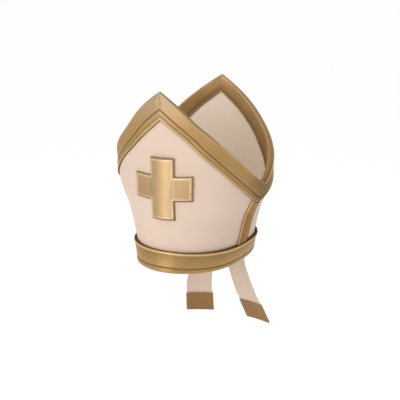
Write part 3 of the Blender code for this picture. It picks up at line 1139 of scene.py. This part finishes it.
        # painted shade: round to the wearer's right, near the seams, most towards the foot, and at
        # the tip
        painted_shade = eased(-math.sin(math.radians(turn)) * self.inside_right_rate)
        seam_shade = self.inside_seam_shade + self.foot_shade * eased(self.foot_rate * relief.share - 1)
        tone = relief.tone - self.inside_right_shade * painted_shade
        tone -= seam_shade * self.painted_tone.at(self.wall.to_seam(turn))
        tone -= self.shaded_tip.at(self.wall.from_middle(turn))
        return relief.lift + (self.drawn_in(turn, relief) - self.padded(turn, relief)), tone

    def row(self, turn: float) -> list[Spot]:
        """The outline across the border at a turn.

        Args:
            turn: angle round the hat.

        Returns:
            Its spots.
        """
        around = [(relief, *self.outer_point(turn, relief)) for relief in self.outside[::-1]]
        around += [(relief, *self.inner_point(turn, relief)) for relief in self.inside]
        around += [(relief, relief.lift, relief.tone) for relief in self.groove]
        points = [
            (self.wall.point(turn, self.height_at(turn, relief), lift * MM), tone)
            for relief, lift, tone in around + around[:1]
        ]
        return laid_out(points, self.wall.along(turn))

    def line(self, share: float, lift: float) -> Line:
        """A line for stitches along the border.

        Args:
            share: its place across the border, as in a profile.
            lift: its lift in mm.

        Returns:
            Its points with their outward normals.
        """
        line = []
        for turn in self.wall.panel_turns(self.face, self.columns):
            relief = Relief(share, lift, 0.0)
            face_point = self.wall.face_point(turn, self.height_at(turn, relief))
            normal = self.wall.normal(face_point)
            out = lift - self.padded(turn, relief)
            line.append((face_point + normal * (out * MM), normal * math.copysign(1.0, lift)))
        return line

    def build(self) -> None:
        """Fold the border and sew it down."""
        half = self.face.name.lower()
        node = half + "_border"
        lines = [self.line(*place) for place in (self.outer_stitches, self.inner_stitches)]
        sewn = StitchRow(node, GOLD_THREAD).build(lines)
        rows = [self.row(turn) for turn in self.wall.panel_turns(self.face, self.columns)]
        piece = placed(node + "_gold", skinned(rows), self.finish, node)


@dataclass
class Headband:
    """The padded ring round the foot of the hat, with a rim, a groove and a lower strip."""

    wall: Wall
    finish: ClothOfGold
    columns: int = 360
    fill: float = 0.5
    # Tones: painted shade at the top ledge, in the groove and underneath, and a painted highlight
    # on the rim.
    profile: tuple[Relief, ...] = reliefs(
        (0, 0.3, -1), (0, 2.5, -0.4), (0, 4.7, -0.2), (0.01, 5.3, 0.1), (0.03, 5.85, 0.1),
        (0.07, 6.15, 0), (0.12, 6.2, 0), (0.17, 5.95, 0), (0.195, 5.6, -0.1), (0.212, 4.95, -0.4),
        (0.224, 4.75, -0.5), (0.236, 4.95, -0.4), (0.254, 5.45, -0.1), (0.29, 5.6, 0.1),
        (0.35, 5.5, 0.05), (0.45, 5.3, 0), (0.55, 5.2, -0.05), (0.65, 5.15, -0.1),
        (0.76, 5.15, -0.15), (0.85, 5.25, -0.2), (0.88, 5.45, 0.35), (0.91, 5.75, 0.9),
        (0.95, 5.85, 0.9), (0.98, 5.4, 0.25), (0.992, 4.9, -0.4), (1, 4.2, -0.8), (1, 2.4, -1),
        (1, 0.3, -1), (0.66, 0.3, -0.6), (0.33, 0.3, -0.6), (0, 0.3, -1),
    )

    def row(self, turn: float) -> list[Spot]:
        """The outline across the band at a turn.

        Args:
            turn: angle round the hat.

        Returns:
            Its spots.
        """
        points = [
            (self.wall.point(turn, relief.share * BAND_HEIGHT, relief.lift * MM), relief.tone)
            for relief in self.profile
        ]
        return laid_out(points, self.wall.along(turn))

    def build(self) -> None:
        """Turn the band round the hat."""
        rows = [self.row(turn) for turn in self.wall.even_turns(0.0, 360.0, self.columns)]
        piece = placed("headband_gold", skinned(rows), self.finish, "headband")


@dataclass
class SideStrip:
    """A gold strip over one side seam, from the headband up to the borders.

    The shares of its two edges are turns.
    """

    wall: Wall
    side: Side
    finish: ClothOfGold
    rows: int = 48
    columns: int = 16
    crown: float = 0.35
    flat: Pair = (0.0310, 0.0840)
    area: float = 0.0025
    # Tones: painted shade where the strip meets the panel and a painted highlight on the front
    # bevel.
    front_edge: tuple[Relief, ...] = reliefs(
        (80.6, 0.3, -0.3), (80.6, 1.3, 0.2), (80.66, 1.75, 0.6), (81.35, 2.9, 0.8),
        (81.6, 3.1, 0.3), (82, 3.15, 0),
    )
    # Tones: painted shade along the back edge.
    back_edge: tuple[Relief, ...] = reliefs(
        (90.4, 3.15, 0), (90.6, 3, -0.7), (90.9, 2.1, -1), (91, 1.6, -1), (91, 0.3, -1),
    )

    def outline(self) -> list[Relief]:
        """Turns and lifts round the strip, whose middle is slightly crowned.

        Returns:
            A closed run of points, whose shares are turns.
        """
        first, last = self.front_edge[-1], self.back_edge[0]
        turns = self.wall.even_turns(first.share, last.share, self.columns)
        crowned = [
            Relief(turn, first.lift + self.crown * math.sin(math.pi * step / self.columns), 0.0)
            for step, turn in enumerate(turns)
        ]
        over = list(self.front_edge) + crowned[1:-1] + list(self.back_edge)
        # painted shade on the underside
        under = [Relief(turn, GAP / MM, -1.0) for turn in reversed(turns)]
        return over + under + over[:1]

    def row(self, share: float) -> list[Spot]:
        """The outline of the strip at a share of its way up.

        Args:
            share: how far up the strip, 0 to 1.

        Returns:
            Its spots.
        """
        low = BAND_HEIGHT + GAP
        row = []
        for relief in self.outline():
            height = low + (self.wall.foot(relief.share) - GAP - low) * share
            turn = self.side.value * relief.share
            place = self.wall.point(turn, height, relief.lift * MM)
            row.append(Spot(place, height, self.wall.along(turn), relief.tone))
        return row

    def build(self) -> None:
        """Lay the strip from the headband to the borders."""
        rows = [self.row(share) for share in spread(0.0, 1.0, self.rows)]
        node = self.side.name.lower() + "_side_strip"
        piece = placed(node + "_gold", skinned(rows), self.finish, node)


@dataclass
class Cross:
    """The raised cross on the front, with a crowned upright and bevelled edges."""

    wall: Wall
    finish: ClothOfGold
    centre_height: float = 0.1309
    half_width: float = 0.0505
    half_height: float = 0.0485
    upright: float = 0.0206
    crossbar: float = 0.0193
    rise: float = 0.0008
    thickness: float = 0.0036
    seat: float = 0.0005
    bevel: float = 0.0026
    cell: float = 0.0022
    insets: Pair = (0.0034, 0.0046)
    crown: float = 0.0027
    crown_power: float = 2.2
    lean: float = 1.8
    bow: float = 0.0022
    taper: float = 0.7
    # painted shade under the cross and on its bevel
    under_line: float = 0.0002
    under_tone: float = -0.70
    bevel_share: float = 0.8
    bevel_tone: float = -0.25
    # a painted highlight just inside the bevel
    bead: Shade = Shade(0.7, 0.0010)
    bead_inset: float = 0.0006
    # painted shade on the arms, and painted light and shade across the upright
    arm_shade: float = 0.14
    side_shade: float = 0.20
    fill: float = 0.8

    def cut(self, plate: BMesh, axis: Vector, places: Sequence[float]) -> None:
        """Slice the flat plate across an axis at a few places.

        Args:
            plate: the flat cross.
            axis: the axis across the cuts.
            places: where the cuts are along it.
        """
        for place in places:
            everything = plate.verts[:] + plate.edges[:] + plate.faces[:]
            bmesh.ops.bisect_plane(
                plate, geom=everything, dist=WELD, plane_co=axis * place, plane_no=axis
            )

    def outlined(self) -> BMesh:
        """A plate without its corners.

        Returns:
            The plate.
        """
        plate = bmesh.new()
        bmesh.ops.create_grid(plate, x_segments=1, y_segments=1, size=1.0)
        size = Vector((self.half_width, self.half_height, 1.0))
        bmesh.ops.scale(plate, vec=size, verts=plate.verts)
        self.cut(plate, AXIS_X, (-self.upright, self.upright))
        self.cut(plate, AXIS_Y, (self.rise - self.crossbar, self.rise + self.crossbar))
        corners = [
            face for face in plate.faces
            if abs(face.calc_center_median().x) > self.upright
            and abs(face.calc_center_median().y - self.rise) > self.crossbar
        ]
        bmesh.ops.delete(plate, geom=corners, context="FACES")
        return plate

    def edged(self, plate: BMesh) -> None:
        """Raise the plate and bevel its upper edge.

        Args:
            plate: the flat cross.
        """
        plate.normal_update()
        raised = bmesh.ops.extrude_face_region(plate, geom=plate.faces[:])["geom"]
        top = [part for part in raised if isinstance(part, bmesh.types.BMVert)]
        bmesh.ops.translate(plate, vec=Vector((0, 0, self.thickness)), verts=top)
        plate.normal_update()
        rim = [
            edge for edge in plate.edges
            if all(vertex.co.z > self.thickness / 2 for vertex in edge.verts)
            and any(abs(face.normal.z) < 0.5 for face in edge.link_faces)
        ]
        bmesh.ops.bevel(
            plate, geom=rim, offset=self.bevel, offset_type="OFFSET", segments=2,
            profile=0.5, affect="EDGES", material=-1,
        )

    def meshed(self, plate: BMesh) -> None:
        """Cut the plate into small cells, so that it can bend.

        Args:
            plate: the flat cross.
        """
        for axis, reach in ((AXIS_X, self.half_width), (AXIS_Y, self.half_height)):
            self.cut(plate, axis, spread(-reach, reach, round(2 * reach / self.cell))[1:-1])
            inset = reach - self.insets[0]
            self.cut(plate, axis, (-inset, inset))
        beams = ((AXIS_X, 0.0, self.upright), (AXIS_Y, self.rise, self.crossbar))
        for axis, middle, reach in beams:
            for inset in self.insets:
                self.cut(plate, axis, (middle - reach + inset, middle + reach - inset))

    def tone(self, x: float, up: float) -> float:
        """The tone at a point of the flat cross.

        Args:
            x: distance from the cross's middle towards +X.
            up: distance above its middle.

        Returns:
            A tone of painted shade on the bevel, most of all below, a painted highlight just inside
            it, painted light on the upright towards +X, and painted shade on it towards -X and on
            the arms.
        """
        inside_upright = min(self.upright - abs(x), self.half_height - abs(up))
        inside_crossbar = min(self.half_width - abs(x), self.crossbar - abs(up - self.rise))
        depth = max(inside_upright, inside_crossbar)
        in_upright = abs(x) < self.upright
        below = self.half_height + up if in_upright else self.crossbar + up - self.rise
        if below < self.bevel + self.under_line:
            return self.under_tone
        if depth < self.bevel * self.bevel_share:
            return self.bevel_tone
        bead = self.bead.at(depth - self.bevel - self.bead_inset)
        return bead + (self.side_shade * x / self.upright if in_upright else -self.arm_shade)

    def laid(self, x: float, up: float, lift: float) -> Vector:
        """Where a point of the flat cross lies on the front panel.

        Args:
            x: distance from the cross's middle towards +X.
            up: distance above its middle.
            lift: height above its underside.

        Returns:
            The point, on a cross that leans, widens upwards and has its arms' ends raised.
        """
        crown = self.crown * max(0.0, 1 - abs(x / self.upright) ** self.crown_power)
        crown *= eased(lift / self.thickness)
        up += self.bow * (x / self.half_width) ** 2
        x *= 1 + self.taper * up
        lean = math.radians(self.lean)
        aside = x * math.cos(lean) - up * math.sin(lean)
        height = self.centre_height + x * math.sin(lean) + up * math.cos(lean)
        return self.wall.point(self.wall.turn_at(aside, height), height, self.seat + lift + crown)

    def build(self) -> None:
        """Cut, raise and bend the cross to the front panel."""
        plate = self.outlined()
        self.edged(plate)
        self.meshed(plate)
        tones = plate.verts.layers.float.new(TONE_LAYER)
        flat = plate.loops.layers.uv.new(CLOTH_MAP)
        for face in plate.faces:
            for loop in face.loops:
                loop[flat].uv = (loop.vert.co.y, loop.vert.co.x + loop.vert.co.z)
        for vertex in plate.verts:
            x, up, lift = vertex.co
            vertex[tones] = self.tone(x, up)
            vertex.co = self.laid(x, up, lift)
        bmesh.ops.recalc_face_normals(plate, faces=plate.faces)
        piece = placed("front_cross_gold", plate, self.finish, "front_cross")


@dataclass
class Hang:
    """How one loose lappet hangs: its face's twist in degrees and its end's swing."""

    wall: Wall
    side: Side
    twist: float
    inward: float
    forward: float
    reach: float = 0.1495
    root_aside: float = 0.0240
    root_half_width: float = 0.0188
    thickness: float = 0.0020
    leave: float = 0.0190
    table: SmoothTable = field(default_factory=lambda: SmoothTable(LAPPET_ROWS))

    def point(self, drop: float, share: float, margin: float, lift: float) -> Vector:
        """A point of the lappet.

        Args:
            drop: how far below the headband, negative inside it.
            share: -1 to 1 across the lappet.
            margin: how much wider than the lappet, for its sleeve.
            lift: distance from its middle surface, outwards.

        Returns:
            The point, on the lappet's own side of the hat: against the inside of the
            back panel within the hat, and hanging free below it.
        """
        twist = math.radians(self.twist)
        root = self.root_aside + (self.root_half_width + margin) * math.cos(twist) * share
        root_lift = -PANEL_THICKNESS - GAP - self.thickness / 2 + lift
        sewn = self.wall.point(180.0 - self.wall.turn_at(root, -drop), -drop, root_lift)
        aside, back, half_width, bulge = (
            self.table.read(name, drop) for name in LappetRow._fields[1:]
        )
        swing = (max(drop, 0.0) / self.reach) ** 2
        across = Vector((math.cos(twist), -math.sin(twist), 0.0)) * (half_width + margin)
        outward = Vector((math.sin(twist), math.cos(twist), 0.0))
        middle = Vector((aside - self.inward * swing, back - self.forward * swing, -drop))
        free = middle + across * share + outward * (bulge * (1 - share * share) + lift)
        x, y, z = sewn.lerp(free, eased((drop + GAP) / self.leave))
        return Vector((x * self.side.value, y, z))


@dataclass
class Lappet:
    """A cream ribbon, sewn inside the back panel and hanging below the headband."""

    hang: Hang
    finish: Silk
    root: float = -0.0140
    end: float = 0.1480
    rows: int = 84
    columns: int = 22
    hem: float = 0.84
    hem_lift: float = 0.00022
    hem_fade: float = 0.03
    hem_shade: Shade = Shade(0.3, 0.02)
    mouth: float = 0.1105
    mouth_shade: Shade = Shade(0.5, 0.0012)
    edge_power: int = 40
    stitch_inset: float = 0.035
    stitch_span: Pair = (0.002, 0.112)
    wave: float = 0.0003
    wave_rate: float = 95.0
    wave_end: float = 0.108
    wave_fade: float = 0.03
    flat: Pair = (0.0462, 0.1743)
    area: float = 0.0073

    def half_thickness(self, share: float) -> float:
        """Half of the ribbon's thickness, fuller in its hems and rounded at its edges.

        Args:
            share: -1 to 1 across the ribbon.

        Returns:
            The distance in metres.
        """
        hemmed = self.hem_lift * eased((abs(share) - self.hem) / self.hem_fade)
        full = self.hang.thickness / 2 - self.hem_lift + hemmed
        return full * (1 - 0.5 * abs(share) ** self.edge_power)

    def sway(self, drop: float) -> float:
        """The slow wave of a hanging ribbon, gone where it is held."""
        held = eased(drop / self.wave_fade) * eased((self.wave_end - drop) / self.wave_fade)
        return self.wave * math.sin(drop * self.wave_rate) * held

    def row(self, drop: float) -> list[Spot]:
        """The outline of the ribbon at a drop.

        Args:
            drop: how far below the headband, negative inside it.

        Returns:
            Its spots.
        """
        shares = spread(-1.0, 1.0, self.columns)
        row = []
        for share, lift in both_faces(shares, [self.half_thickness(share) for share in shares]):
            place = self.hang.point(drop, share, 0.0, lift + self.sway(drop))
            tone = -self.hem_shade.at(abs(share) - self.hem)
            tone -= self.mouth_shade.at(drop - self.mouth)
            row.append(Spot(place, share * self.flat[0] / 2, drop, tone))
        return row

    def hem_lines(self) -> list[Line]:
        """Lines of stitches down both hems, on both faces.

        Returns:
            Points with their outward normals.
        """
        lines = []
        for share in (-self.hem - self.stitch_inset, self.hem + self.stitch_inset):
            for out in (1, -1):
                line = []
                for drop in spread(*self.stitch_span, self.rows):
                    lift = out * self.half_thickness(share) + self.sway(drop)
                    place = self.hang.point(drop, share, 0.0, lift)
                    behind = self.hang.point(drop, share, 0.0, lift - out * self.hang.thickness)
                    line.append((place, (place - behind).normalized()))
                lines.append(line)
        return lines

    def build(self) -> None:
        """Hang the ribbon and sew its hems."""
        node = self.hang.side.name.lower() + "_lappet"
        stitches = StitchRow(node, CREAM_THREAD).build(self.hem_lines())
        rows = [self.row(drop) for drop in spread(self.root, self.end, self.rows)]
        piece = placed(node + "_silk", skinned(rows), self.finish, node)


@dataclass
class LappetEnd:
    """A gold sleeve over a lappet's lower end: a pocket that is open at the top.

    A row of its rounded foot holds the height above the lappet's end, the shares of the
    sleeve's margin and depth, and the tone.
    """

    hang: Hang
    finish: ClothOfGold
    mouth: float = 0.1135
    pocket_end: float = 0.1483
    thickness: float = 0.0010
    rows: int = 26
    columns: int = 20
    lip: float = 0.0002
    lip_tone: float = 0.1
    pocket_tone: float = -0.8
    end_round: float = 0.0006
    foot_rows: tuple[tuple[float, float, float, float], ...] = (
        (0.0002, 0.80, 0.85, -0.8), (0.0000, 0.30, 0.50, -0.9),
    )
    edge_round: float = 0.45
    edge_power: int = 36
    edge_shine: Shade = Shade(0.5, 0.03)
    mouth_shine: Shade = Shade(0.55, 0.0009)
    end_shade: Shade = Shade(0.7, 0.0011)
    flat: Pair = (0.0980, 0.0400)
    area: float = 0.0039

    def outline(self, drop: float, margin: float, depth: float, tone: float) -> list[Spot]:
        """The outline round the sleeve at a drop.

        Args:
            drop: how far below the headband.
            margin: how much wider than the lappet.
            depth: half of the outline's thickness.
            tone: the cloth's tone on the faces.

        Returns:
            A closed row of spots.
        """
        shares = spread(-1.0, 1.0, self.columns)
        lifts = [depth * (1 - self.edge_round * abs(share) ** self.edge_power) for share in shares]
        points = []
        for share, lift in both_faces(shares, lifts):
            place = self.hang.point(drop, share, margin, lift)
            points.append((place, tone + self.edge_shine.at(1 - abs(share))))
        return laid_out(points, drop)

    def build(self) -> None:
        """Fold the sleeve round the lappet's end, from inside the pocket to its foot."""
        pocket = self.hang.thickness / 2 + GAP
        outer = pocket + self.thickness
        margin = GAP + self.thickness
        foot = self.hang.reach
        rows = [
            self.outline(drop, GAP, pocket, self.pocket_tone)
            for drop in spread(self.pocket_end, self.mouth, self.rows // 2)
        ]
        halfway = (pocket + outer) / 2
        rows.append(self.outline(self.mouth - self.lip, margin / 2, halfway, self.lip_tone))
        for drop in spread(self.mouth + self.lip, foot - self.end_round, self.rows):
            tone = self.mouth_shine.at(drop - self.mouth) - self.end_shade.at(foot - drop)
            rows.append(self.outline(drop, margin, outer, tone))
        for rise, width, depth, tone in self.foot_rows:
            rows.append(self.outline(foot - rise, margin * width, outer * depth, tone))
        lappet = self.hang.side.name.lower() + "_lappet"
        piece = placed(lappet + "_end_gold", skinned(rows), self.finish, lappet + "_end")


@dataclass
class Studio:
    """A pale floor, soft light and a camera at the photograph's place."""

    azimuth: float = 31.073
    elevation: float = 16.923
    roll: float = -0.902
    distance: float = 1.6038
    focal_pixels: float = 987.72
    frame_pixels: float = 400.0
    aim_aside: float = 0.00638
    aim_height: float = 0.08691
    sensor: float = 36.0
    clip_end: float = 100.0
    floor_height: float = -0.80
    floor_radius: float = 60.0
    floor_segments: int = 96
    floor_albedo: float = 0.90
    floor_roughness: float = 0.9
    floor_glow: float = 0.42
    world_strength: float = 0.62
    sun_azimuth: float = -28.0
    sun_elevation: float = 38.0
    sun_strength: float = 0.25
    sun_width: float = 40.0
    box_azimuth: float = -17.0
    box_distance: float = 2.5
    box_width: float = 0.80
    box_reach: Pair = (-0.75, 2.65)
    box_power: float = 28.0

    def direction(self, azimuth: float, elevation: float) -> Vector:
        """The unit vector from the hat towards a place round it."""
        a, e = math.radians(azimuth), math.radians(elevation)
        return Vector((math.sin(a) * math.cos(e), -math.cos(a) * math.cos(e), math.sin(e)))

    def add_camera(self) -> None:
        """Put the camera where the photograph was taken from."""
        back = self.direction(self.azimuth, self.elevation)
        right = self.direction(self.azimuth + 90.0, 0.0)
        up = back.cross(right)
        roll = math.radians(self.roll)
        rolled_right = right * math.cos(roll) + up * math.sin(roll)
        rolled_up = up * math.cos(roll) - right * math.sin(roll)
        aim = right * self.aim_aside + Vector((0.0, 0.0, self.aim_height))
        lens = bpy.data.cameras.new("camera")
        lens.sensor_width = self.sensor
        lens.lens = self.focal_pixels * self.sensor / self.frame_pixels
        lens.clip_end = self.clip_end
        camera = added("camera", lens)
        turned = Matrix((rolled_right, rolled_up, back)).transposed().to_4x4()
        camera.matrix_world = Matrix.Translation(aim + back * self.distance) @ turned
        bpy.context.scene.camera = camera

    def add_lamp(self, light: bpy.types.Light, towards: Vector) -> bpy.types.Object:
        """A lamp that shines on the hat from a direction.

        Args:
            light: what shines.
            towards: the unit vector from the hat to the lamp.

        Returns:
            The lamp.
        """
        lamp = added(light.name, light)
        lamp.rotation_euler = towards.to_track_quat("Z", "Y").to_euler()
        return lamp

    def add_sun(self) -> None:
        """A wide soft sun from the front left."""
        sun = bpy.data.lights.new("soft_sun", "SUN")
        sun.energy = self.sun_strength
        sun.angle = math.radians(self.sun_width)
        self.add_lamp(sun, self.direction(self.sun_azimuth, self.sun_elevation))

    def add_softbox(self) -> None:
        """A tall softbox from the floor up, which draws the highlight down the hat."""
        low, high = self.box_reach
        box = bpy.data.lights.new("tall_softbox", "AREA")
        box.shape = "RECTANGLE"
        box.size = self.box_width
        box.size_y = high - low
        box.energy = self.box_power
        towards = self.direction(self.box_azimuth, 0.0)
        lamp = self.add_lamp(box, towards)
        lamp.location = towards * self.box_distance + Vector((0.0, 0.0, (low + high) / 2))
        lamp.visible_camera = False

    def add_room(self) -> None:
        """An even pale room round the hat."""
        world = bpy.data.worlds.new("room")
        world.use_nodes = True
        background = world.node_tree.nodes["Background"]
        background.inputs["Color"].default_value = (1.0, 1.0, 1.0, 1.0)
        background.inputs["Strength"].default_value = self.world_strength
        bpy.context.scene.world = world

    def add_floor(self) -> None:
        """A plain pale floor, well below the hat as it is worn."""
        ground = bmesh.new()
        bmesh.ops.create_circle(
            ground, cap_ends=True, segments=self.floor_segments, radius=self.floor_radius
        )
        bmesh.ops.translate(ground, vec=Vector((0, 0, self.floor_height)), verts=ground.verts)
        mesh = bpy.data.meshes.new("floor")
        ground.to_mesh(mesh)
        ground.free()
        graph = Graph("floor_paper")
        pale = (self.floor_albedo,) * 3
        looks = {
            "Base Color": pale, "Roughness": self.floor_roughness, "Emission Color": pale,
            "Emission Strength": self.floor_glow,
        }
        graph.feed(graph.shader, looks)
        mesh.materials.append(graph.material)
        added("floor", mesh)

    def build(self) -> None:
        """Set up the whole studio."""
        bpy.context.scene.view_settings.view_transform = "Standard"
        for add in (self.add_camera, self.add_sun, self.add_softbox, self.add_room, self.add_floor):
            add()


def main() -> None:
    """Build every piece of the hat and the studio round it."""
    logging.basicConfig(level=logging.INFO, format="%(message)s")
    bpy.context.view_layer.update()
    Studio().build()
    wall = Wall()
    hangs = (Hang(wall, Side.LEFT, 10.0, 0.0, 0.0), Hang(wall, Side.RIGHT, 28.0, 0.0107, 0.0112))
    for face, gold in zip(Face, (FRONT_BORDER_GOLD, BORDER_GOLD)):
        Panel(wall, face, CREAM_SILK).build()
        Border(wall, face, gold).build()
    Headband(wall, BAND_GOLD).build()
    Cross(wall, CROSS_GOLD).build()
    for hang in hangs:
        SideStrip(wall, hang.side, SHADED_STRIP_GOLD).build()
        Lappet(hang, YELLOWER_SHADED_LAPPET_SILK).build()
        LappetEnd(hang, END_GOLD).build()


if __name__ == "__main__":
    main()
